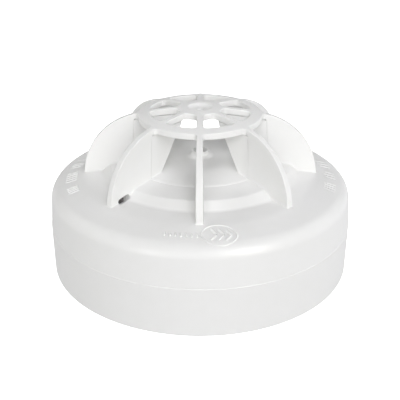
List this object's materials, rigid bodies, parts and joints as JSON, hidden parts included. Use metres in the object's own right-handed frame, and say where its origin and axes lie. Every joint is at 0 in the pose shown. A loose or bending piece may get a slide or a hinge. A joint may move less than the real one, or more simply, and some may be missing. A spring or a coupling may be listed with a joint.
{
  "type": "heat detector",
  "caption": "Round ceiling heat detector with a finned spoked crown over its thermistor, twisted onto a base with spring contacts and mounting slots.",
  "frame": {"origin": "centre of the flat face of the base that goes against the ceiling", "axes": "+Z away from the ceiling along the detector's axis, -Y the front, +X right seen from the front"},
  "size_m": [0.1002, 0.1002, 0.0533],
  "materials": {
    "moulded_white": "injection-moulded white flame-retardant plastic, semi-gloss",
    "contact_brass": "stamped and bent spring brass strip",
    "plated_steel": "bright zinc-plated steel",
    "board_green": "glass-epoxy board under green solder mask",
    "chip_black": "black moulded epoxy",
    "capacitor_sleeve": "shrunk plastic sleeve on an aluminium can",
    "led_red": "tinted clear epoxy",
    "smoked_red": "dark smoked-red clear plastic",
    "bead_epoxy": "dipped epoxy bead"
  },
  "bodies": {
    "base": {"base_housing": "moulded_white", "base_contact_1": "contact_brass", "base_contact_2": "contact_brass", "base_contact_3": "contact_brass", "base_contact_4": "contact_brass", "clamp_plates": "plated_steel", "terminal_screws": "plated_steel"},
    "detector": {"back_plate": "moulded_white", "contact_blade_1": "contact_brass", "contact_blade_2": "contact_brass", "contact_blade_3": "contact_brass", "contact_blade_4": "contact_brass", "contact_rivets": "plated_steel", "link_pins": "plated_steel", "circuit_board": "board_green", "board_screws": "plated_steel", "microcontroller": "chip_black", "line_capacitor": "capacitor_sleeve", "bridge_rectifier": "chip_black", "voltage_regulator": "chip_black", "chip_resistors": "chip_black", "indicator_led": "led_red", "light_pipe": "smoked_red", "thermistor": "bead_epoxy", "thermistor_leads": "plated_steel", "sensor_shroud": "moulded_white", "outer_cover": "moulded_white", "cover_screws": "plated_steel"}
  },
  "joints": [
    {"name": "detector_twist", "type": "hinge", "parent": "base", "child": "detector", "pos_m": [0, 0, 0.0161], "axis": [0, 0, 1], "range_deg": [0, 18]}
  ]
}
